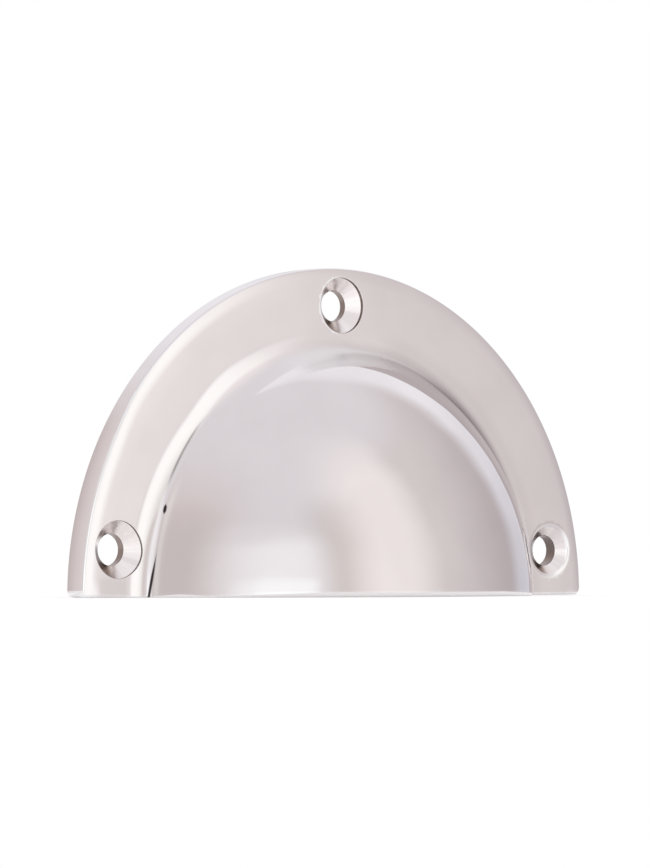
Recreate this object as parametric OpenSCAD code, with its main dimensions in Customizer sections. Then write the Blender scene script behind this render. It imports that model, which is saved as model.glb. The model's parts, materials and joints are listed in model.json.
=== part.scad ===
// Cup pull for a drawer: a half-moon flange and a spherical hood, cast as one piece.
// Frame: X across the drawer, +Y into the drawer front, +Z up, in millimetres.
// The mounting face lies in Y = 0, and the origin is midway between the two side screws.

/* [Flange] */
// Radius of the half-moon flange, which is half the overall width
flange_r = 50; // [48:0.5:60]
// Thickness of the flange
flange_t = 3.3; // [2.8:0.1:5]
// Width of the soft roll-off that polishing leaves along the front edge
roll_w = 2.2; // [1:0.1:3]
// Radius of that roll-off
roll_r = 8; // [6:0.5:14]
// Rounding between the roll-off and the rim
rim_r = 0.5; // [0.2:0.1:0.8]
// Rounding of the two lower corners
foot_r = 2; // [1:0.1:4]

/* [Hood] */
// Radius of the hood's outer sphere where it meets the flange front
hood_r = 37.6; // [33:0.2:38]
// Projection of the hood's crown from the mounting face
hood_out = 25.5; // [20:0.5:32]
// Wall of the hood
wall_t = 2.6; // [2:0.1:4]
// Rounding of the lip's edges
lip_r = 0.7; // [0.3:0.1:0.9]

/* [Cove] */
// Radius of the cove between hood and flange
cove_r = 2.5; // [1.5:0.25:4]

/* [Screws] */
// Diameter of the screw holes
screw_d = 4.7; // [3.6:0.1:5.4]
// Diameter of the countersinks at the front face
head_d = 8.5; // [7.4:0.1:9]
// Included angle of the countersinks
head_angle = 90; // [82:1:100]
// Distance of the side screws from the flange's widest point, along X
side_inset = 7; // [6:0.25:7.5]
// Height of the side screws above the lower edge
side_z = 7; // [6.5:0.25:9]
// Distance of the top screw below the flange's highest point
top_inset = 5.7; // [5:0.1:6.5]

/* [Hidden] */
$fn = 128;

// How far a cutter runs past the surface that it cuts
past = 1;

// Outer sphere of the hood: its radius, and the depth of its centre behind the mounting face
hood_rise = hood_out - flange_t;
hood_sphere = (hood_r * hood_r + hood_rise * hood_rise) / (2 * hood_rise);
hood_back = hood_sphere - hood_out;
bowl_sphere = hood_sphere - wall_t;

// Cove: its arc crosses the flange and the hood at this slight angle, points are [radius, height]
cove_meet = 3;
cove_h = flange_t + cove_r * cos(cove_meet);
cove_far = sqrt(pow(hood_sphere, 2) + pow(cove_r, 2) + 2 * hood_sphere * cove_r * cos(cove_meet));
cove_x = sqrt(pow(cove_far, 2) - pow(cove_h + hood_back, 2));
cove_turn = atan2(cove_x, cove_h + hood_back);
cove_end = [cove_x - cove_r * sin(cove_turn), cove_h - cove_r * cos(cove_turn)];

// Lip: the front rounding follows a flatter circle than the hood, so that it runs out at the coves
lip_sweep = hood_sphere + 1.1 * lip_r / (1 - cos(cove_turn));
lip_y = lip_sweep - hood_out;
lip_turn = atan2(cove_end.x, cove_end.y + lip_y);
lip_inner = sqrt(bowl_sphere * bowl_sphere - lip_r * lip_r) - lip_r / 30;

// Rim: the roll-off's arc starts at roll_x, and the rim's arc touches it from inside at rim_end
roll_x = flange_r - roll_w;
roll_h = flange_t - roll_r;
rim_x = flange_r - rim_r;
rim_h = roll_h + sqrt(pow(roll_r - rim_r, 2) - pow(rim_x - roll_x, 2));
rim_lean = atan2(rim_x - roll_x, rim_h - roll_h);
rim_end = [roll_x + roll_r * sin(rim_lean), roll_h + roll_r * cos(rim_lean)];

// Lower corners: the arc touches the lower edge and meets the rim at this angle
foot_meet = 30;
foot_x = flange_r - foot_r * cos(foot_meet);

// Screw axes as [x, z], heights counted from the lower edge
side_x = flange_r - side_inset;
screw_places = [[-side_x, side_z], [side_x, side_z], [0, flange_r - top_inset]];
sink_depth = (head_d - screw_d) / 2 / tan(head_angle / 2);

// What softening takes off the flange's front edge: above the roll-off, then round the rim
module soft_edge_section() {
    outward = [sin(rim_lean), cos(rim_lean)];
    corner = rim_end + past * outward;
    difference() {
        polygon([[roll_x, flange_t], rim_end, corner, [roll_x, corner.y]]);
        translate([roll_x, roll_h]) circle(roll_r, $fn = 512);
    }
    difference() {
        polygon([rim_end, [flange_r, rim_h], [flange_r + past, rim_h], corner]);
        translate([rim_x, rim_h]) circle(rim_r);
    }
}

// Half section of the flange with its cove, from the axis out to the rim
module flange_section() {
    difference() {
        polygon([
            [0, 0], [flange_r, 0], [flange_r, flange_t], [cove_x, flange_t], cove_end, [0, cove_end.y]
        ]);
        translate([cove_x, cove_h]) circle(cove_r);
        soft_edge_section();
    }
}

// Flange and hood, solid and full round
module turned_body() {
    rotate([90, 0, 0]) rotate(-90) rotate_extrude() flange_section();
    intersection() {
        translate([0, hood_back, 0]) sphere(hood_sphere, $fn = 256);
        translate([-hood_sphere, -hood_out - past, -hood_sphere])
            cube([2 * hood_sphere, hood_out + past - flange_t / 2, 2 * hood_sphere]);
    }
}

// Everything below the lower edge
module lower_half() {
    translate([-flange_r - past, -hood_out - past, -flange_r - past])
        cube([2 * (flange_r + past), hood_out + 2 * past, flange_r + past]);
}

// What rounding takes off the lip's front edge: full at the crown, running out before the coves
module lip_front_cut() {
    translate([0, lip_y, 0]) rotate(-90 - lip_turn) rotate_extrude(angle = 2 * lip_turn) difference() {
        translate([lip_sweep - lip_r, -past]) square([lip_r + past, lip_r + past]);
        translate([lip_sweep - lip_r, lip_r]) circle(lip_r);
    }
}

// What rounding takes off the lip's inner edge
module lip_back_cut() {
    translate([0, hood_back, 0]) rotate_extrude() difference() {
        translate([lip_inner - past, -past]) square([lip_r + past, lip_r + past]);
        translate([lip_inner + lip_r, lip_r]) circle(lip_r);
    }
}

// Hollow behind the hood
module bowl_cut() {
    translate([0, hood_back, 0]) sphere(bowl_sphere, $fn = 256);
}

// What the rounding takes off one lower corner
module foot_cut() {
    rotate([90, 0, 0]) translate([foot_x, 0, -past])
        linear_extrude(flange_t + 2 * past) difference() {
            translate([0, -past]) square([foot_r + past, foot_r + past]);
            translate([0, foot_r]) circle(foot_r);
        }
}

// Screw hole with its countersink, drilled from the front
module screw_cut() {
    sink_h = sink_depth + past;
    rotate([90, 0, 0]) {
        translate([0, 0, -past]) cylinder(d = screw_d, h = flange_t + 2 * past);
        translate([0, 0, flange_t - sink_depth])
            cylinder(d1 = screw_d, d2 = screw_d + 2 * sink_h * tan(head_angle / 2), h = sink_h);
    }
}

module cup_pull() {
    color([0.82, 0.79, 0.78]) translate([0, 0, -side_z]) difference() {
        turned_body();
        lower_half();
        bowl_cut();
        lip_front_cut();
        lip_back_cut();
        for (side = [0, 1]) mirror([side, 0, 0]) foot_cut();
        for (place = screw_places) translate([place.x, 0, place.y]) screw_cut();
    }
}

cup_pull();
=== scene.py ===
"""Cup pull in polished nickel, on a white studio floor, seen from the front left."""

import json
from math import asin, atan2, ceil, cos, degrees, hypot, pi, radians, sin, sqrt, tan

import bpy
from mathutils import Euler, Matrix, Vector
from mathutils.geometry import delaunay_2d_cdt


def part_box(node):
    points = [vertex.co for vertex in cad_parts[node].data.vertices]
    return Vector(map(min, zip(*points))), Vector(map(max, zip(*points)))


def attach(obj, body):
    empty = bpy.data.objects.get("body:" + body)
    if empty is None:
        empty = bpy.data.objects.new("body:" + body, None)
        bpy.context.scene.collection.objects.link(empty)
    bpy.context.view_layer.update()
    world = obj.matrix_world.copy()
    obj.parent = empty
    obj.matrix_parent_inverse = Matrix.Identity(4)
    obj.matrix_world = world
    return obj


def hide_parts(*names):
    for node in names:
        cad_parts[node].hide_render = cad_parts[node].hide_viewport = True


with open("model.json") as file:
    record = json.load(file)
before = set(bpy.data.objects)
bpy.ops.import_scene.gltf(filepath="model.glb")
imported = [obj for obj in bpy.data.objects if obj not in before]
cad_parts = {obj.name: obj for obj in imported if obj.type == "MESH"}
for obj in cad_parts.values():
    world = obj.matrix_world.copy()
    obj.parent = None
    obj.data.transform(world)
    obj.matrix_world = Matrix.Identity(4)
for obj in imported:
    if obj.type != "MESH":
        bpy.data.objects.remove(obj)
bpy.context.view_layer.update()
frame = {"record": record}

# Lengths are in millimetres until a point is placed, and heights are counted from the lower edge
MM = 0.001

# Sizes read from the frame
box_low, box_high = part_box("cup_pull")
LOWER_EDGE = box_low.z / MM
FLANGE_R = (box_high.z - box_low.z) / MM
HOOD_OUT = -box_low.y / MM
MOUNTS = {mount["name"]: mount for mount in frame["record"]["mounts"]}
SIDE_X = MOUNTS["side_screws"]["dims"]["spacing_x_mm"] / 2
SIDE_Z = -LOWER_EDGE
TOP_Z = MOUNTS["top_screw"]["pos_m"][2] / MM - LOWER_EDGE
BORE_R = MOUNTS["top_screw"]["dims"]["r_mm"]

# Flange: thickness, the roll-off that polishing leaves along its front edge, gentle and then quicker,
# the rim's rounding, the lower corners, and how far the rim leans in at the lower left
FLANGE_T = 3.3
EASE_W = 4.8
EASE_LEAN = radians(2)
ROLL_W = 2.2
ROLL_R = 8.0
RIM_W = 0.39
CORNER_R = 1.0
LEFT_DRAFT = 0.5

# Hand polishing leaves the flange very slightly crowned from side to side: lean for each millimetre
CROWN_LEAN = 0.001

# Hood: where its sphere meets the flange front, its wall, and how much wider it is on the left
HOOD_R = 37.6
WALL_T = 2.6
LEFT_WIDE = 1.018

# Cove: a sweep out of the flange, wide at the left foot, then a turn up into the hood that is tight
# at the feet and soft at the upper left, and the radius beyond which the flange is flat everywhere
SWEEP_LEFT = 6.8
SWEEP_TOP = 3.6
SWEEP_RIGHT = 3.2
SWEEP_FADE = 70
SWEEP_TURN = radians(24)
TIGHT_R = 2.0
TIGHT_SOFT = 7.0
COVE_LIMIT = 43.5

# Lower edge: softening at the crown and at the coves, and inside the hollow
CROWN_SOFT = 0.7
COVE_SOFT = 0.15
HOLLOW_SOFT = 0.7

# Countersinks: radius at the flange front, lean of the cone, edge of the bore, and for each hole
# the rounding of its outer edge and how deep the cone is set below it
SINK_START = 4.36
SINK_LEAN = radians(40)
BORE_BREAK = 0.12
SINK_EDGES = ((0.10, 0.35), (1.0, 0.0), (0.12, 0.50))

# Spacing of the mesh points on the hood and flange, in the cove, on both roll-offs, along the outline
# and in the hollow, and the gap that is left between them and an edge
RING_STEP = 0.6
COVE_STEP = 0.2
EASE_STEP = 0.4
ROLL_STEP = 0.22
ALONG_STEP = 0.5
BOWL_STEP = 1.2
CLEAR = 0.13

# Steps round a hole, a lower corner and a soft edge, and rows of the rim's wall, of a hole's outer edge,
# of its cone, of the break below that and of the bore
HOLE_STEPS = 96
CORNER_STEPS = 12
EDGE_STEPS = 7
WALL_ROWS = 4
SINK_ROWS = 6
CONE_ROWS = 6
BREAK_ROWS = 5
BORE_ROWS = 3

# Two points closer than the weld are one, and a point this near to a line lies on it
WELD = 0.0005
NEAR = 0.01

# Worked out from the sizes above; a section point is (radius, height out of the mounting face)
HOOD_RISE = HOOD_OUT - FLANGE_T
HOOD_SPHERE = (HOOD_R ** 2 + HOOD_RISE ** 2) / (2 * HOOD_RISE)
HOOD_BACK = HOOD_SPHERE - HOOD_OUT
BOWL_SPHERE = HOOD_SPHERE - WALL_T
BOWL_R = sqrt(BOWL_SPHERE ** 2 - HOOD_BACK ** 2)
COVE_IN = HOOD_R - 1.2
COVE_OUT = HOOD_R + 4
EASE_X = FLANGE_R - EASE_W
ROLL_X = FLANGE_R - ROLL_W
EASE_R = (ROLL_X - EASE_X) / sin(EASE_LEAN)
SHEET_R = FLANGE_R - RIM_W
CORNER_X = sqrt((FLANGE_R - CORNER_R) ** 2 - CORNER_R ** 2)
CORNER_TURN = atan2(CORNER_R, CORNER_X)
SCREWS = ((-SIDE_X, SIDE_Z), (SIDE_X, SIDE_Z), (0.0, TOP_Z))
RIGHT_HOLE = 1

# Finishes, in the order of the pull's materials, each with a lighter and a darker tone
POLISHED, TURNED, BORED, PLAIN = range(4)
POLISHED_TONES = ((0.70, 0.665, 0.67), (0.68, 0.645, 0.65))
# The turned tones are the light and dark of the painted highlight streaks round the holes
TURNED_TONES = ((0.86, 0.82, 0.81), (0.77, 0.725, 0.715))
# The bore's dark tones are partly its duller metal and partly painted shade in the bore
BORED_TONES = ((0.28, 0.23, 0.21), (0.19, 0.15, 0.135))
PLAIN_TONES = ((0.66, 0.63, 0.62), (0.60, 0.56, 0.55))

# Colours of painted highlight and painted shade, of painted shade along the left crease and at the lower
# left of the holes, and of painted shade on the cone and bore of the right-hand hole
HIGHLIGHT_PAINT = (0.825, 0.83, 0.83)
SHADE_PAINT = (0.42, 0.385, 0.385)
CREASE_SHADE_PAINT = (0.035, 0.028, 0.03)
SINK_SHADE_PAINT = (0.20, 0.15, 0.12)
RIGHT_SINK_SHADE_PAINT = (0.50, 0.465, 0.455)
BORE_SHADE_PAINT = (0.155, 0.125, 0.115)
HAZE_ROUGH = 0.3

# Grain: scales of the slow clouds of tone, of the fine change of gloss, of the painted highlight streaks
# round a hole and of the polishing waves, which are stretched along the pull, and the band of noise between
# two tones
CLOUD_SCALE = 90.0
FINE_SCALE = 900.0
STREAK_SCALE = 2.6
WAVE_SCALE = 80.0
WAVE_STRETCH = (0.6, 1.0, 1.5)
GRAIN_BAND = (0.35, 0.65)

# The holes are this far apart in the noise of their painted highlight streaks, so that no two are alike
HOLE_APART = 10.0

# Painted shade along the left crease: its radius at the foot and how that falls and bows upwards, half its
# width, where it ends, the height of a small dark mark above it, and a fainter painted line higher up
CREASE_R = 37.4
CREASE_FALL = 0.127
CREASE_BOW = 0.0076
CREASE_HALF = 0.22
CREASE_END = (8.8, 2.0)
MARK_UP = 13.0
FAINT_R = 37.17
FAINT_RISE = 0.025
FAINT_UP = 21.5
FAINT_SHARE = 0.5

# Studio: soft areas, each over the ones before it, as the angles over which it fades in on the left and out
# on the right, with 0 straight in front of the pull, the angles over which it ends above, and its colour
STUDIO_TONE = (0.995, 0.98, 1.01)
STUDIO_AREAS = (
    (None, (-67, -30), (30, 67), (0.91, 0.84, 0.83)),
    ((-112, -96), (-67, -45), (22, 40), (0.80, 0.745, 0.735)),
    ((18, 46), None, (43, 58), (0.94, 0.89, 0.885)),
    ((36, 97), None, (7, 68), (0.64, 0.59, 0.605)),
    ((-22, 2), (14, 18), (20, 47), (0.66, 0.605, 0.56)),
    ((-68, -31), (-20, 2), (18, 30), (1.21, 1.215, 1.23)),
    ((-53, -30), (-17, -10), (3, 8), (1.35, 1.40, 1.39)),
    ((-18, 19), (27, 47), (40, 68), (1.20, 1.155, 1.14)),
)

# The studio's wall behind the pull: its tones below and above, and its edges, of which the left one leans
WALL_LOW = (0.74, 0.73, 0.785)
WALL_HIGH = (1.14, 1.14, 1.175)
WALL_RISE = (-5, 40)
WALL_LEFT = (-28, 22)
WALL_LEAN = 1.2
WALL_LEVEL = 35.0
WALL_RIGHT = (88, 75)

# Floor: a disc just under the pull, its grey, and the white that lenses and shiny metal see on it
FLOOR_R = 110.0
FLOOR_STEPS = 96
FLOOR_GAP = 0.05
FLOOR_GREY = (0.9, 0.9, 0.9, 1)
FLOOR_SEEN = 0.2
FLOOR_SHINE = 0.28

# Camera of the photograph: where it stands in metres, which way it looks, and its lens on a 36 mm sensor
CAMERA_PLACE = (-0.45892, -0.54263, -0.00217)
CAMERA_TURN = radians(40.179)
CAMERA_RISE = radians(1.606)
CAMERA_ROLL = radians(-0.075)
CAMERA_LENS = 192.7
CAMERA_SENSOR = 36.0


def ease(t):
    """Smooth step from 0 to 1."""
    t = min(1.0, max(0.0, t))
    return t * t * (3 - 2 * t)


def rise(value, low, high):
    """0 up to low, 1 from high on, and a smooth step between."""
    return ease((value - low) / (high - low))


def fall(value, low, high):
    """1 up to low, 0 from high on, and a smooth step between."""
    return 1 - rise(value, low, high)


def around_hood(x, z):
    """A point's reach from the hood's middle and its turn from the top in degrees, negative to the left."""
    if x < 0:
        x /= LEFT_WIDE
    return hypot(x, z), degrees(atan2(x, z))


def sweep_radius(turn):
    """Radius of the cove's sweep."""
    foot = SWEEP_LEFT if turn < 0 else SWEEP_RIGHT
    return SWEEP_TOP + (foot - SWEEP_TOP) * rise(abs(turn), 0, SWEEP_FADE)


def tight_radius(turn):
    """Radius of the turn up into the hood."""
    upper_left = fall(turn, -12, 6) * fall(-turn, 32, 50)
    return TIGHT_R + (TIGHT_SOFT - TIGHT_R) * upper_left


def cove(reach, turn):
    """Height and lean of the hood or the cove, or nothing where the flange is flat."""
    if reach >= COVE_LIMIT:
        return None
    sweep_r = sweep_radius(turn)
    tight_r = tight_radius(turn)
    tight_h = FLANGE_T + sweep_r * (1 - cos(SWEEP_TURN)) + tight_r * cos(SWEEP_TURN)
    tight_x = sqrt((HOOD_SPHERE + tight_r) ** 2 - (tight_h + HOOD_BACK) ** 2)
    hood_end = tight_x * HOOD_SPHERE / (HOOD_SPHERE + tight_r)
    sweep_x = tight_x + (sweep_r - tight_r) * sin(SWEEP_TURN)
    if reach < hood_end:
        lean = asin(reach / HOOD_SPHERE)
        return HOOD_SPHERE * cos(lean) - HOOD_BACK, lean
    if reach < tight_x - tight_r * sin(SWEEP_TURN):
        lean = asin((tight_x - reach) / tight_r)
        return tight_h - tight_r * cos(lean), lean
    if reach < sweep_x:
        lean = asin((sweep_x - reach) / sweep_r)
        return FLANGE_T + sweep_r * (1 - cos(lean)), lean
    return None


def roll(radius):
    """Height and lean of the flange outside the cove."""
    if radius < EASE_X:
        return FLANGE_T, 0.0
    if radius < ROLL_X:
        lean = asin((radius - EASE_X) / EASE_R)
        return FLANGE_T - EASE_R * (1 - cos(lean)), lean
    lean = asin(min(1.0, sin(EASE_LEAN) + (radius - ROLL_X) / ROLL_R))
    start = FLANGE_T - EASE_R * (1 - cos(EASE_LEAN))
    return start - ROLL_R * (cos(EASE_LEAN) - cos(lean)), lean


def front_corner(x, z):
    """A point of the front surface with its normal."""
    reach, turn = around_hood(x, z)
    found = cove(reach, turn)
    if found:
        height, lean = found
        narrow = LEFT_WIDE if x < 0 else 1.0
        slope = Vector((sin(lean) * x / narrow ** 2, -cos(lean) * reach, sin(lean) * z))
    else:
        radius = hypot(x, z)
        height, lean = roll(radius)
        crowned = CROWN_LEAN * x * rise(radius, 38.5, 41.5) * rise(z, 0, 16)
        slope = Vector((sin(lean) * x / radius + crowned, -cos(lean), sin(lean) * z / radius))
    normal = slope.normalized() if slope.length else Vector((0, -1, 0))
    return (x, -height, z), normal


def bowl_corner(x, z):
    """A point of the hollow with its normal, which faces the sphere's centre."""
    height = sqrt(BOWL_SPHERE ** 2 - x * x - z * z) - HOOD_BACK
    return (x, -height, z), (-x / BOWL_SPHERE, (HOOD_BACK + height) / BOWL_SPHERE, -z / BOWL_SPHERE)


def lower_soft(x):
    """Softening of the lower front edge: full at the crown, least in the coves, wider at the corners."""
    x = abs(x)
    if x < HOOD_R:
        return COVE_SOFT + (CROWN_SOFT - COVE_SOFT) * ease((HOOD_R - x) / HOOD_R * 1.6)
    return COVE_SOFT + (RIM_W - COVE_SOFT) * rise(x, HOOD_R, CORNER_X)


def hollow_soft(x):
    """Softening of the hollow's lower edge, which runs out at the mounting face."""
    return HOLLOW_SOFT * fall(abs(x), BOWL_R - 6, BOWL_R)


def painted_shade_areas(x, z, reach, turn):
    """Painted shade in the right crease, on the flange beside it and on the left foot."""
    crease = rise(turn, 20, 42) * rise(reach, 35.3, 36.1) * fall(reach, 37.2, 39)
    beside = 0.2 * rise(turn, 8, 20) * rise(reach, 37, 38) * fall(reach, 39.5, 42)
    foot = 0.28 * fall(z, 2.1, 3.6) * rise(-x, 41, 42) * fall(-x, 46.2, 47)
    return crease + beside + foot


def bright_roll(height, z, turn, radius):
    """Painted highlight along the left roll-off, further in towards the foot."""
    start = ROLL_X - 0.9 + 0.7 * fall(-turn, 52, 66) - 0.8 * fall(z, 0, 3)
    front = rise(height, FLANGE_T - 0.9, FLANGE_T - 0.5)
    return rise(radius, start, start + 1.4) * front * rise(-turn, 14, 44)


def rim_wall(height, z, turn):
    """Painted light on the left wall of the rim: lighter towards its front at the lower left, and under the
    corner.
    """
    lower = 0.3 * height - 0.45 + 1.6 * fall(z, CORNER_R - 0.6, CORNER_R)
    return lower + (-0.08 - lower) * fall(-turn, 52, 66)


def right_hole_edge(across, up):
    """Painted light on the right-hand hole's soft edge: a painted highlight at the lower right, painted
    shade above.
    """
    return 0.9 * rise(across - 0.6 * up, 0, 3) - 0.5 * rise(up - 0.4 * across, 0, 3)


def bright_cove(height, lean, reach, turn):
    """Painted highlight on the left sweep, and on the crest above its foot."""
    lean = degrees(lean)
    swept_end = 16 + 9 * rise(turn, -78, -64)
    swept = rise(lean, 0.5, 5.5) * fall(lean, swept_end, swept_end + 4)
    low = fall(height, FLANGE_T + 1, FLANGE_T + 1.5)
    crest = rise(reach, 36.3, 36.7) * rise(lean, 26, 30) * rise(-turn, 58, 72) * (1 - low)
    return rise(-turn, 8, 43) * max(swept * low, crest)


def bright_top(lean, reach, turn):
    """Painted highlight at the hood's top edge."""
    return 0.9 * rise(reach, 34.6, 35.8) * rise(degrees(lean), 20, 45) * fall(abs(turn - 2), 0, 32)


def painted_light(x, y, z):
    """Painted light at a point: a painted highlight above 0, painted shade below 0."""
    height = -y
    radius = hypot(x, z)
    reach, turn = around_hood(x, z)
    if radius > SHEET_R - LEFT_DRAFT and height < FLANGE_T - 0.5:
        return rise(-turn, 8, 43) * rim_wall(height, z, turn)
    if hypot(x - SIDE_X, z - SIDE_Z) < SINK_START + NEAR:
        return right_hole_edge(x - SIDE_X, z - SIDE_Z)
    # Painted highlight on the left of the top hole's edge
    if abs(hypot(x, z - TOP_Z) - SINK_START) < NEAR:
        return 2.5 * rise(-x, 0, 2.5)
    soft = lower_soft(x)
    # Painted highlight on the softened lower edge
    lip = 0.6 * fall(z, soft - 0.1, soft + 0.2)
    bright = max(lip, bright_roll(height, z, turn, radius))
    found = cove(reach, turn)
    if found:
        bright = max(bright, bright_cove(*found, reach, turn))
        bright += bright_top(found[1], reach, turn)
    return bright - painted_shade_areas(x, z, reach, turn)


def haze(x, z):
    """How much rougher the hood's top edge and the right crease are, where a wheel reaches least."""
    reach = hypot(x, z)
    turn = degrees(atan2(x, z))
    if reach >= HOOD_R + 2:
        return 0.0
    crease = rise(reach, 34.6, 35.2) * rise(turn, 62, 72)
    top = rise(reach, 34.7, 35.1) * fall(abs(turn + 2), 9, 23)
    return crease + top


def around_hole(x, z):
    """Direction of a point from its screw hole's middle, with a number for the hole, or zeros elsewhere."""
    for number, (cx, cz) in enumerate(SCREWS):
        away = hypot(x - cx, z - cz)
        if away < SINK_START + NEAR:
            return (x - cx) / away, HOLE_APART * number, (z - cz) / away
    return 0.0, 0.0, 0.0


def mark_points(mesh, name, kind, field, values):
    """Gives each point of a mesh a value that the materials read by name."""
    mesh.attributes.new(name, kind, "POINT").data.foreach_set(field, values)


class Skin:
    """Faces of one welded mesh, with a normal at each corner and a finish for each face."""

    def __init__(self):
        self.points = []
        self.known = {}
        self.faces = []
        self.normals = []
        self.finishes = []

    def point(self, place):
        """Number of the point at a place, which is added if it is new."""
        key = tuple(round(c / WELD) for c in place)
        if key not in self.known:
            self.known[key] = len(self.points)
            self.points.append(Vector(place))
        return self.known[key]

    def face(self, corners, finish):
        """Adds a face from (place, normal) corners, wound so that it faces the way its normals do."""
        kept = {}
        for place, normal in corners:
            kept.setdefault(self.point(place), Vector(normal))
        if len(kept) < 3:
            return
        loop = list(kept)
        a, b, c = (self.points[index] for index in loop[:3])
        facing = sum(kept.values(), Vector())
        if (b - a).cross(c - a).dot(facing) < 0:
            loop.reverse()
        self.faces.append(loop)
        self.normals.extend(kept[index].normalized() for index in loop)
        self.finishes.append(finish)

    def strip(self, rows, finish):
        """Joins rows of corners with quads."""
        for near, far in zip(rows, rows[1:]):
            for i in range(len(near) - 1):
                self.face([near[i], near[i + 1], far[i + 1], far[i]], finish)

    def sheet(self, loops, inner, corner, outside, finish):
        """Fills the first loop, less the others, with triangles through the inner points."""
        plan = []
        edges = []
        for loop in loops:
            first = len(plan)
            count = len(loop)
            plan.extend(Vector(p) for p in loop)
            edges.extend((first + i, first + (i + 1) % count) for i in range(count))
        plan.extend(Vector(p) for p in inner)
        places, _, triangles, *_ = delaunay_2d_cdt(plan, edges, [], 0, 1e-6)
        for triangle in triangles:
            middle = sum((places[i] for i in triangle), Vector((0, 0))) / 3
            if not outside(middle.x, middle.y):
                self.face([corner(*places[i]) for i in triangle], finish)

    def build(self, name, materials):
        """Makes the mesh object, in metres, with its corner normals and the values its materials read."""
        mesh = bpy.data.meshes.new(name)
        lift = Vector((0, 0, LOWER_EDGE))
        mesh.from_pydata([(p + lift) * MM for p in self.points], [], self.faces)
        for material in materials:
            mesh.materials.append(material)
        mesh.polygons.foreach_set("material_index", self.finishes)
        mesh.polygons.foreach_set("use_smooth", [True] * len(self.faces))
        mesh.normals_split_custom_set(self.normals)
        # Painted light for each point: painted highlight above 0, painted shade below 0
        mark_points(mesh, "painted_light", "FLOAT", "value", [painted_light(*p) for p in self.points])
        mark_points(mesh, "haze", "FLOAT", "value", [haze(p.x, p.z) for p in self.points])
        swirl = [c for p in self.points for c in around_hole(p.x, p.z)]
        mark_points(mesh, "swirl", "FLOAT_VECTOR", "vector", swirl)
        piece = bpy.data.objects.new(name, mesh)
        bpy.context.scene.collection.objects.link(piece)
        return piece


def spaced(start, end, step):
    """Even values from start up to, but without, end, at most a step apart."""
    steps = ceil((end - start) / step)
    return [start + (end - start) * i / steps for i in range(steps)]


def ring_radii():
    """Radii of the rings of mesh points: even in lean on the hood, close in the cove, wider outside."""
    hood_lean = asin(COVE_IN / HOOD_SPHERE)
    hood_steps = ceil(HOOD_SPHERE * hood_lean / RING_STEP)
    radii = [HOOD_SPHERE * sin(hood_lean * i / hood_steps) for i in range(1, hood_steps)]
    radii += spaced(COVE_IN, COVE_OUT, COVE_STEP)
    radii += spaced(COVE_OUT, EASE_X, RING_STEP)
    radii += spaced(EASE_X, ROLL_X, EASE_STEP)
    radii += spaced(ROLL_X, SHEET_R, ROLL_STEP)
    return radii


def widen(radius, x):
    """The left half of a ring follows the hood's wider left side, less so towards the rim."""
    if x > 0:
        return x
    return x * (1 + (LEFT_WIDE - 1) * fall(radius, EASE_X - 3, EASE_X))


def circle(cx, cz, radius):
    """Points of a hole's circle in plan."""
    angles = [2 * pi * i / HOLE_STEPS for i in range(HOLE_STEPS)]
    return [(cx + radius * cos(a), cz + radius * sin(a)) for a in angles]


def half_circle(radius, steps):
    """Points of a half circle in plan, from right to left."""
    angles = [pi * i / steps for i in range(steps + 1)]
    return [(radius * cos(a), radius * sin(a)) for a in angles]


def outline():
    """The flange's outline from lower right to lower left, as (x, z, outward x, outward z)."""
    corner_sweep = pi / 2 + CORNER_TURN
    corner_angles = [-pi / 2 + corner_sweep * i / CORNER_STEPS for i in range(CORNER_STEPS)]
    arcs = [(CORNER_X, CORNER_R, CORNER_R, a) for a in corner_angles]
    steps = ceil(pi * FLANGE_R / ALONG_STEP)
    sweep = pi - 2 * CORNER_TURN
    arcs += [(0.0, 0.0, FLANGE_R, CORNER_TURN + sweep * i / steps) for i in range(steps + 1)]
    line = [(cx + r * cos(a), cz + r * sin(a), cos(a), sin(a)) for cx, cz, r, a in arcs]
    left_corner = [(-x, z, -nx, nz) for x, z, nx, nz in reversed(line[:CORNER_STEPS])]
    return line + left_corner


def outward(x, z):
    """X part of the direction from a point straight out to the flange's outline."""
    if abs(x) > CORNER_X and z < CORNER_R:
        dx = abs(x) - CORNER_X
        side = 1 if x > 0 else -1
        return side * dx / (hypot(dx, z - CORNER_R) or 1.0)
    return x / (hypot(x, z) or 1.0)


def draft(nx):
    """How far the rim's front edge stands in from its back edge, which it does only at the lower left."""
    return LEFT_DRAFT * rise(-nx, 0.76, 0.92)


def as_rows(columns):
    """Turns columns of corners into rows."""
    return [list(row) for row in zip(*columns)]


def rim_column(x, z, nx, nz):
    """Corners of the rim at one point of the outline, from the front sheet round to the mounting face."""
    lean_in = draft(nx)
    edge_in = RIM_W + lean_in
    (_, front_y, _), normal = front_corner(x - edge_in * nx, z - edge_in * nz)
    start = atan2(normal.x * nx + normal.z * nz, -normal.y)
    soft = RIM_W / (1 - sin(start))
    column = []
    for k in range(EDGE_STEPS):
        turn = start + (pi / 2 - start) * k / (EDGE_STEPS - 1)
        inset = lean_in + soft * (1 - sin(turn))
        y = front_y + soft * (cos(start) - cos(turn))
        facing = (sin(turn) * nx, -cos(turn), sin(turn) * nz)
        column.append(((x - inset * nx, y, z - inset * nz), facing))
    wall_y = front_y + soft * cos(start)
    for k in range(WALL_ROWS):
        share = 1 - k / (WALL_ROWS - 1)
        inset = lean_in * share
        column.append(((x - inset * nx, wall_y * share, z - inset * nz), (nx, 0, nz)))
    return column


def soft_column(x, soft, corner):
    """Corners of a softened lower edge at one place, from the sheet above it down to the lower face."""
    (_, y, _), normal = corner(x, soft)
    size = hypot(normal[0], normal[1])
    nx = normal[0] / size
    ny = normal[1] / size
    column = []
    for k in range(EDGE_STEPS):
        turn = pi / 2 * k / (EDGE_STEPS - 1)
        back = soft * (1 - cos(turn))
        place = (x - back * nx, y - back * ny, soft * (1 - sin(turn)))
        column.append((place, (cos(turn) * nx, cos(turn) * ny, -sin(turn))))
    return column


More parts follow.
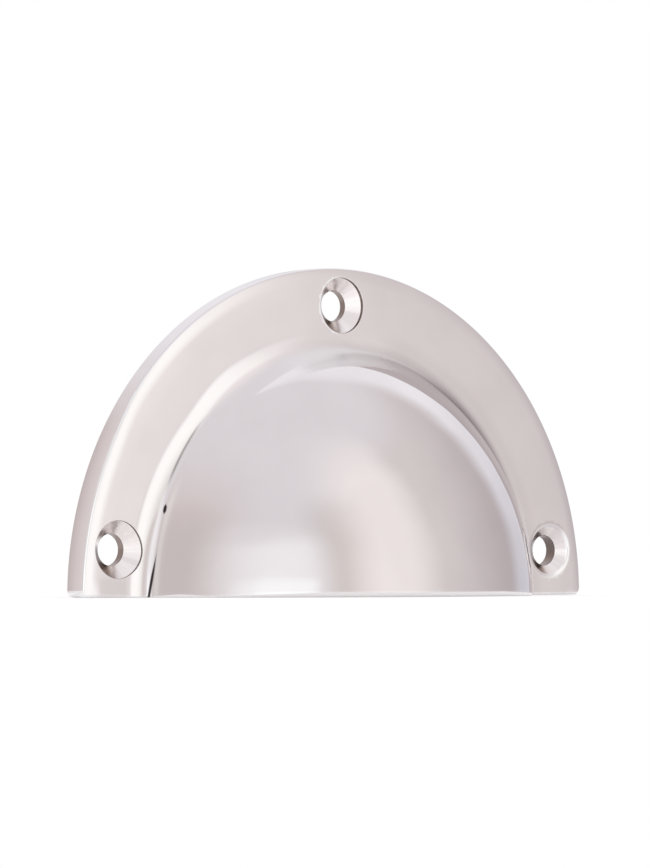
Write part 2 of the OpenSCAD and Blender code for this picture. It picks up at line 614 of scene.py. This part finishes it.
def hole_section(edge, set_down):
    """Section of a screw hole from the flange front to the mounting face, as (radius, height, lean)."""
    section = []
    edge_lean = pi / 2 if set_down else SINK_LEAN
    for k in range(SINK_ROWS):
        lean = edge_lean * k / (SINK_ROWS - 1)
        section.append((SINK_START - edge * sin(lean), FLANGE_T - edge * (1 - cos(lean)), lean))
    top_r, top_h, _ = section[-1]
    if set_down:
        top_h -= set_down
        section += [(top_r, top_h, pi / 2), (top_r, top_h, SINK_LEAN)]
    reach = BORE_BREAK * tan((pi / 2 - SINK_LEAN) / 2)
    end_r = BORE_R + reach * cos(SINK_LEAN)
    end_h = top_h - (top_r - end_r) * tan(SINK_LEAN)
    for k in range(1, CONE_ROWS):
        share = k / CONE_ROWS
        section.append((top_r + (end_r - top_r) * share, top_h + (end_h - top_h) * share, SINK_LEAN))
    bottom = end_h - reach * sin(SINK_LEAN) - reach
    for k in range(BREAK_ROWS):
        lean = SINK_LEAN + (pi / 2 - SINK_LEAN) * k / (BREAK_ROWS - 1)
        section.append((BORE_R + BORE_BREAK * (1 - sin(lean)), bottom + BORE_BREAK * cos(lean), lean))
    wall_h = section[-1][1]
    return section + [(BORE_R, wall_h * (1 - k / BORE_ROWS), pi / 2) for k in range(1, BORE_ROWS + 1)]


def hole_row(cx, cz, radius, height, lean):
    """Corners round a screw hole at one point of its section, lifted near the rim to meet the flange."""
    row = []
    lifted = ease((radius - BORE_R) / (SINK_START - BORE_R) * 3 - 2)
    for i in range(HOLE_STEPS + 1):
        angle = 2 * pi * (i % HOLE_STEPS) / HOLE_STEPS
        (_, rim_y, _), _ = front_corner(cx + SINK_START * cos(angle), cz + SINK_START * sin(angle))
        y = -height - (-rim_y - FLANGE_T) * lifted
        normal = (-sin(lean) * cos(angle), -cos(lean), -sin(lean) * sin(angle))
        row.append(((cx + radius * cos(angle), y, cz + radius * sin(angle)), normal))
    return row


def add_hole(skin, cx, cz, edge, set_down):
    """Countersink and bore of one screw hole."""
    rows = [hole_row(cx, cz, *point) for point in hole_section(edge, set_down)]
    step = SINK_ROWS - 1
    cone = step + 2 if set_down else step
    break_row = cone + CONE_ROWS
    skin.strip(rows[:step + 1], POLISHED)
    skin.strip(rows[step:cone + 1], BORED)
    skin.strip(rows[cone:break_row + 1], TURNED)
    skin.strip(rows[break_row:], BORED)


def in_hole(x, z, reach):
    """True nearer than reach to the middle of a screw hole."""
    return any(hypot(x - cx, z - cz) < reach for cx, cz in SCREWS)


def past_corner(x, z, inset):
    """True beyond the rounding of a lower corner that is moved in by inset."""
    x = abs(x)
    return x > CORNER_X and z < CORNER_R and hypot(x - CORNER_X, z - CORNER_R) > CORNER_R - inset


def within(loop, x, y):
    """True for a point inside a closed loop: a line out of it crosses the loop an odd number of times."""
    odd = False
    for (ax, ay), (bx, by) in zip(loop, loop[1:] + loop[:1]):
        if (ay > y) != (by > y) and x < ax + (bx - ax) * (y - ay) / (by - ay):
            odd = not odd
    return odd


def add_front(skin, edge, stations):
    """Hood, cove and flange front as one sheet."""
    def outside(x, z, clear=0.0):
        lean_in = draft(outward(x, z))
        low = z < lower_soft(x) + clear
        far = hypot(x, z) > SHEET_R - lean_in - clear
        cornered = past_corner(x, z, RIM_W + lean_in + clear)
        return low or far or cornered or in_hole(x, z, SINK_START + clear)

    rim = []
    for x, z, nx, nz in edge:
        edge_in = RIM_W + draft(nx)
        rim.append((x - edge_in * nx, z - edge_in * nz))
    low = [(x, lower_soft(x)) for x in stations[1:-1]]
    holes = [circle(cx, cz, SINK_START) for cx, cz in SCREWS]
    inner = []
    for radius in ring_radii():
        steps = max(8, ceil(pi * radius / ALONG_STEP))
        ring = [(widen(radius, x), z) for x, z in half_circle(radius, steps)]
        inner += [p for p in ring if not outside(*p, CLEAR)]
    skin.sheet([rim + low, *holes], inner, front_corner, outside, POLISHED)


def add_bowl(skin, stations, mouth):
    """The hollow behind the hood."""
    def outside(x, z, clear=0.0):
        return z < hollow_soft(x) + clear or hypot(x, z) > BOWL_R - clear

    low = [(x, hollow_soft(x)) for x in stations[1:-1]]
    inner = []
    for i in range(1, ceil(BOWL_R / BOWL_STEP)):
        radius = i * BOWL_STEP
        steps = max(6, ceil(pi * radius / BOWL_STEP))
        inner += [p for p in half_circle(radius, steps) if not outside(*p, BOWL_STEP / 3)]
    skin.sheet([mouth + low], inner, bowl_corner, outside, PLAIN)


def add_back(skin, edge, mouth):
    """The flat mounting face."""
    mouth_in = BOWL_R * cos(pi / 2 / (len(mouth) - 1))
    bore_in = BORE_R * cos(pi / HOLE_STEPS)

    def outside(x, z):
        return past_corner(x, z, 0) or hypot(x, z) < mouth_in or in_hole(x, z, bore_in) or z < 0

    def corner(x, z):
        return (x, 0, z), (0, 1, 0)

    holes = [circle(cx, cz, BORE_R) for cx, cz in SCREWS]
    loop = [(x, z) for x, z, _, _ in edge] + list(reversed(mouth))
    skin.sheet([loop, *holes], [], corner, outside, PLAIN)


def add_lower_face(skin, rim, lower, hollow):
    """The flat underside: both feet and the lip."""
    wall = range(EDGE_STEPS, EDGE_STEPS + WALL_ROWS)
    right = [rim[k][0] for k in wall]
    left = [rim[k][-1] for k in reversed(wall)]
    around = lower[-1][:-1] + right + list(reversed(hollow[-1])) + left[:-1]
    loop = [(place[0], place[1]) for place, _ in around]

    def outside(x, y):
        return not within(loop, x, y)

    def corner(x, y):
        return (x, y, 0), (0, 0, -1)

    skin.sheet([loop], [], corner, outside, POLISHED)


def add_edges(skin, edge, stations, bowl_line):
    """Rim, softened lower edges and underside."""
    rim = as_rows(rim_column(*point) for point in edge)
    lower = as_rows(soft_column(x, lower_soft(x), front_corner) for x in stations)
    hollow = as_rows(soft_column(x, hollow_soft(x), bowl_corner) for x in bowl_line)
    for low_row, rim_row in zip(lower, rim):
        low_row[0] = rim_row[-1]
        low_row[-1] = rim_row[0]
    skin.strip(rim, POLISHED)
    skin.strip(lower, POLISHED)
    skin.strip(hollow, POLISHED)
    add_lower_face(skin, rim, lower, hollow)


def add_pull(materials):
    """The whole casting as one mesh."""
    skin = Skin()
    edge = outline()
    radii = [r for r in ring_radii() if r < CORNER_X - RING_STEP / 2] + [CORNER_X]
    stations = [widen(r, -r) for r in reversed(radii)] + [0.0] + radii
    bowl_steps = ceil(BOWL_R / RING_STEP)
    bowl_line = [BOWL_R * sin(pi / 2 * i / bowl_steps) for i in range(-bowl_steps, bowl_steps + 1)]
    mouth = half_circle(BOWL_R, ceil(pi * BOWL_R / BOWL_STEP))
    add_front(skin, edge, stations)
    add_bowl(skin, bowl_line, mouth)
    add_back(skin, edge, mouth)
    add_edges(skin, edge, stations, bowl_line)
    for (cx, cz), (edge_r, set_down) in zip(SCREWS, SINK_EDGES):
        add_hole(skin, cx, cz, edge_r, set_down)
    pull = skin.build("cup_pull_visual", materials)
    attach(pull, "root")
    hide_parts("cup_pull")


class Nodes:
    """Short names for making and joining the nodes of one tree."""

    def __init__(self, tree):
        self.tree = tree
        tree.nodes.clear()

    def add(self, kind, **inputs):
        """A node with its inputs set or joined; a space in an input's name is written as _."""
        node = self.tree.nodes.new(kind)
        for name, value in inputs.items():
            self.put(node.inputs[name.replace("_", " ")], value)
        return node

    def put(self, socket, value):
        """Joins a socket to another one, or gives it a value."""
        if isinstance(value, bpy.types.NodeSocket):
            self.tree.links.new(value, socket)
        else:
            socket.default_value = value

    def math(self, operation, first, second=0.0):
        """Result of one operation on two values."""
        node = self.tree.nodes.new("ShaderNodeMath")
        node.operation = operation
        self.put(node.inputs[0], first)
        self.put(node.inputs[1], second)
        return node.outputs[0]

    def times(self, first, second):
        """Product of two values."""
        return self.math("MULTIPLY", first, second)

    def off(self, value, middle):
        """How far a value is from a middle one."""
        return self.math("ABSOLUTE", self.math("SUBTRACT", value, middle))

    def step(self, value, low, high):
        """Smooth step of a value, from 0 at low to 1 at high."""
        node = self.add("ShaderNodeMapRange", Value=value, From_Min=low, From_Max=high)
        node.interpolation_type = "SMOOTHSTEP"
        return node.outputs["Result"]

    def mix(self, share, first, second):
        """Mixes two colours."""
        node = self.tree.nodes.new("ShaderNodeMix")
        node.data_type = "RGBA"
        self.put(node.inputs["Factor"], share)
        for socket, value in ((node.inputs[6], first), (node.inputs[7], second)):
            self.put(socket, value if isinstance(value, bpy.types.NodeSocket) else (*value, 1))
        return node.outputs[2]

    def noise(self, place, scale, detail, roughness=0.5):
        """Soft noise at a place."""
        node = self.add("ShaderNodeTexNoise", Vector=place, Scale=scale, Detail=detail, Roughness=roughness)
        return node.outputs[0]

    def point_value(self, name):
        """A value that the mesh holds at its points."""
        node = self.tree.nodes.new("ShaderNodeAttribute")
        node.attribute_name = name
        return node.outputs


def new_material(name):
    """An empty material, with its nodes."""
    material = bpy.data.materials.new(name)
    material.use_nodes = True
    return material, Nodes(material.node_tree)


def crease_line(nodes, reach, up):
    """Painted shade along the crease, narrower upwards, and a small dark mark above it."""
    bow = nodes.math("SUBTRACT", CREASE_FALL, nodes.times(up, CREASE_BOW))
    crease = nodes.math("SUBTRACT", CREASE_R, nodes.times(up, bow))
    line = nodes.step(up, *CREASE_END)
    mark = nodes.step(nodes.off(up, MARK_UP), 1.1, 0.2)
    half = nodes.times(nodes.math("MAXIMUM", line, mark), CREASE_HALF)
    return nodes.step(nodes.math("SUBTRACT", nodes.off(reach, crease), half), 0.0, -0.14)


def faint_line(nodes, reach, up):
    """A fainter painted shade line at the upper left of the hood."""
    radius = nodes.math("ADD", nodes.times(up, FAINT_RISE), FAINT_R)
    across = nodes.step(nodes.off(reach, radius), 0.26, 0.02)
    along = nodes.step(nodes.off(up, FAINT_UP), 6.0, 2.0)
    return nodes.times(nodes.times(across, along), FAINT_SHARE)


def crease_shade_share(nodes, place):
    """Where painted shade darkens the crease beside the hood, which is on the left only."""
    axis = nodes.add("ShaderNodeSeparateXYZ", Vector=place).outputs
    side = nodes.math("DIVIDE", axis["X"], -LEFT_WIDE * MM)
    up = nodes.math("SUBTRACT", nodes.math("DIVIDE", axis["Z"], MM), LOWER_EDGE)
    squares = nodes.math("ADD", nodes.math("POWER", side, 2.0), nodes.math("POWER", up, 2.0))
    reach = nodes.math("SQRT", squares)
    share = nodes.math("MAXIMUM", crease_line(nodes, reach, up), faint_line(nodes, reach, up))
    return nodes.times(share, nodes.step(side, 20.0, 30.0))


def cloud_grain(nodes, place):
    """Slow change of tone over the plating."""
    return nodes.step(nodes.noise(place, CLOUD_SCALE, 3.0), *GRAIN_BAND)


def turned_glint_streaks(nodes, place):
    """Painted highlight streaks round a hole, standing in for the glint of its turning marks."""
    ring = nodes.point_value("swirl")["Vector"]
    return nodes.step(nodes.noise(ring, STREAK_SCALE, 3.0, 0.6), *GRAIN_BAND)


def paint_polished_light(nodes, place, colour, rough):
    """Painted highlights, painted shade, rougher areas, and painted shade along the crease."""
    # Painted highlight where the value is above 0, painted shade where it is below 0
    painted_level = nodes.point_value("painted_light")["Fac"]
    colour = nodes.mix(nodes.math("MAXIMUM", painted_level, 0.0), colour, HIGHLIGHT_PAINT)
    colour = nodes.mix(nodes.math("MAXIMUM", nodes.times(painted_level, -1.0), 0.0), colour, SHADE_PAINT)
    # Painted shade along the left crease
    colour = nodes.mix(crease_shade_share(nodes, place), colour, CREASE_SHADE_PAINT)
    rough = nodes.math("ADD", rough, nodes.times(nodes.point_value("haze")["Fac"], HAZE_ROUGH))
    return colour, rough


def hole_sides(nodes):
    """Direction of a point from the middle of its screw hole, and 1 in the right-hand hole."""
    side = nodes.add("ShaderNodeSeparateXYZ", Vector=nodes.point_value("swirl")["Vector"]).outputs
    return side, nodes.step(nodes.off(side["Y"], HOLE_APART * RIGHT_HOLE), 1.0, 0.5)


def paint_sink_shade(nodes, place, colour, rough):
    """Painted shade on the cones: greyer on the right-hand one, mostly above, and darker on all three at
    the lower left.
    """
    side, right = hole_sides(nodes)
    above = nodes.times(nodes.step(side["Z"], 0.1, 0.9), 0.4)
    # Painted shade on the right-hand cone, mostly above
    colour = nodes.mix(nodes.times(right, nodes.math("ADD", above, 0.1)), colour, RIGHT_SINK_SHADE_PAINT)
    # Painted shade on every cone at the lower left
    lower_left = nodes.math("ADD", nodes.times(side["X"], -0.8), nodes.times(side["Z"], -0.6))
    return nodes.mix(nodes.step(lower_left, 0.55, 0.9), colour, SINK_SHADE_PAINT), rough


def paint_bore_shade(nodes, place, colour, rough):
    """Painted shade on the right-hand bore, darker mostly above."""
    side, right = hole_sides(nodes)
    # Painted shade on the right-hand bore
    return nodes.mix(nodes.times(right, nodes.step(side["Z"], -0.8, 0.3)), colour, BORE_SHADE_PAINT), rough


def nickel_material(name, tones, gloss, wave, tone_pattern=cloud_grain, light_paint=None):
    """Plated metal: two tones, a slight change of gloss, and the gentle waves of a polishing wheel."""
    material, nodes = new_material(name)
    place = nodes.add("ShaderNodeTexCoord").outputs["Object"]
    light, dark = tones
    smooth, matt = gloss
    colour = nodes.mix(tone_pattern(nodes, place), dark, light)
    fine = nodes.noise(place, FINE_SCALE, 2.0)
    rough = nodes.add("ShaderNodeMapRange", Value=fine, To_Min=smooth, To_Max=matt).outputs[0]
    # Painted highlights and painted shade, for the finishes that have them
    if light_paint:
        colour, rough = light_paint(nodes, place, colour, rough)
    along = nodes.add("ShaderNodeMapping", Vector=place, Scale=WAVE_STRETCH).outputs[0]
    waves = nodes.noise(along, WAVE_SCALE, 1.0)
    bump = nodes.add("ShaderNodeBump", Height=waves, Distance=wave, Strength=1.0).outputs[0]
    shader = nodes.add("ShaderNodeBsdfPrincipled", Base_Color=colour, Roughness=rough, Normal=bump)
    shader.inputs["Metallic"].default_value = 1.0
    nodes.add("ShaderNodeOutputMaterial", Surface=shader.outputs[0])
    return material


def nickel_finishes():
    """The pull's materials, in the order of its finishes."""
    return [
        nickel_material("polished_nickel", POLISHED_TONES, (0.03, 0.06), 2e-4, light_paint=paint_polished_light),
        nickel_material("turned_nickel", TURNED_TONES, (0.16, 0.26), 4e-6, turned_glint_streaks, paint_sink_shade),
        nickel_material("bore_nickel", BORED_TONES, (0.22, 0.35), 8e-6, light_paint=paint_bore_shade),
        nickel_material("plain_nickel", PLAIN_TONES, (0.24, 0.36), 1e-5),
    ]


def studio_area(nodes, turn, lift, left, right, high):
    """Share of one soft area of the studio; left and right may be open."""
    share = nodes.step(lift, *reversed(high))
    if left:
        share = nodes.times(share, nodes.step(turn, *left))
    if right:
        share = nodes.times(share, nodes.step(turn, *reversed(right)))
    return share


def studio_wall(nodes, back, lift):
    """Share and tone of the wall behind the pull."""
    tone = nodes.mix(nodes.step(lift, *WALL_RISE), WALL_LOW, WALL_HIGH)
    leaning = nodes.times(nodes.math("SUBTRACT", lift, WALL_LEVEL), WALL_LEAN)
    left = nodes.step(nodes.math("ADD", back, leaning), *WALL_LEFT)
    return nodes.times(left, nodes.step(back, *WALL_RIGHT)), tone


def straight_rays(nodes):
    """1 for what a camera sees directly or through glass."""
    rays = nodes.add("ShaderNodeLightPath").outputs
    return nodes.math("MAXIMUM", rays["Is Camera Ray"], rays["Is Transmission Ray"]), rays


def add_studio():
    """White behind the pull, with soft boxes, a ceiling and darker walls in front of it."""
    world = bpy.data.worlds.new("studio")
    bpy.context.scene.world = world
    world.use_nodes = True
    nodes = Nodes(world.node_tree)
    direction = nodes.add("ShaderNodeTexCoord").outputs["Generated"]
    axis = nodes.add("ShaderNodeSeparateXYZ", Vector=direction).outputs
    turn = nodes.math("DEGREES", nodes.math("ARCTAN2", axis["X"], nodes.times(axis["Y"], -1.0)))
    back = nodes.math("DEGREES", nodes.math("ARCTAN2", axis["X"], axis["Y"]))
    lift = nodes.math("DEGREES", nodes.math("ARCSINE", axis["Z"]))
    tone = STUDIO_TONE
    for left, right, high, colour in STUDIO_AREAS:
        tone = nodes.mix(studio_area(nodes, turn, lift, left, right, high), tone, colour)
    wall_share, wall_tone = studio_wall(nodes, back, lift)
    tone = nodes.mix(wall_share, tone, wall_tone)
    straight, _ = straight_rays(nodes)
    tone = nodes.mix(straight, tone, (1, 1, 1))
    shine = nodes.add("ShaderNodeBackground", Color=tone, Strength=1.0)
    nodes.add("ShaderNodeOutputWorld", Surface=shine.outputs[0])


def floor_material():
    """Matt white that stays white in the picture and in reflections."""
    material, nodes = new_material("floor_white")
    straight, rays = straight_rays(nodes)
    shine = nodes.times(rays["Is Glossy Ray"], FLOOR_SHINE)
    seen = nodes.math("MAXIMUM", nodes.times(straight, FLOOR_SEEN), shine)
    plain = nodes.add("ShaderNodeBsdfDiffuse", Color=FLOOR_GREY)
    glow = nodes.add("ShaderNodeEmission", Color=(1, 1, 1, 1), Strength=seen)
    both = nodes.add("ShaderNodeAddShader")
    nodes.put(both.inputs[0], plain.outputs[0])
    nodes.put(both.inputs[1], glow.outputs[0])
    nodes.add("ShaderNodeOutputMaterial", Surface=both.outputs[0])
    return material


def add_floor():
    """A white disc under the pull, which keeps its soft shadow."""
    angles = [2 * pi * i / FLOOR_STEPS for i in range(FLOOR_STEPS)]
    mesh = bpy.data.meshes.new("floor")
    rim = [(FLOOR_R * MM * cos(a), FLOOR_R * MM * sin(a), 0) for a in angles]
    mesh.from_pydata(rim, [], [list(range(FLOOR_STEPS))])
    mesh.materials.append(floor_material())
    floor = bpy.data.objects.new("floor", mesh)
    floor.location.z = (LOWER_EDGE - FLOOR_GAP) * MM
    bpy.context.scene.collection.objects.link(floor)


def add_camera():
    """The camera, at the photograph's viewing angle."""
    data = bpy.data.cameras.new("camera")
    data.sensor_width = CAMERA_SENSOR
    data.lens = CAMERA_LENS
    data.clip_start = 0.01
    data.clip_end = 20.0
    camera = bpy.data.objects.new("camera", data)
    camera.location = CAMERA_PLACE
    aim = Euler((pi / 2 + CAMERA_RISE, 0, -CAMERA_TURN)).to_matrix()
    camera.rotation_euler = (aim @ Euler((0, 0, CAMERA_ROLL)).to_matrix()).to_euler()
    bpy.context.scene.collection.objects.link(camera)
    bpy.context.scene.camera = camera


bpy.context.scene.view_settings.view_transform = "Standard"
add_camera()
add_studio()
add_floor()
add_pull(nickel_finishes())
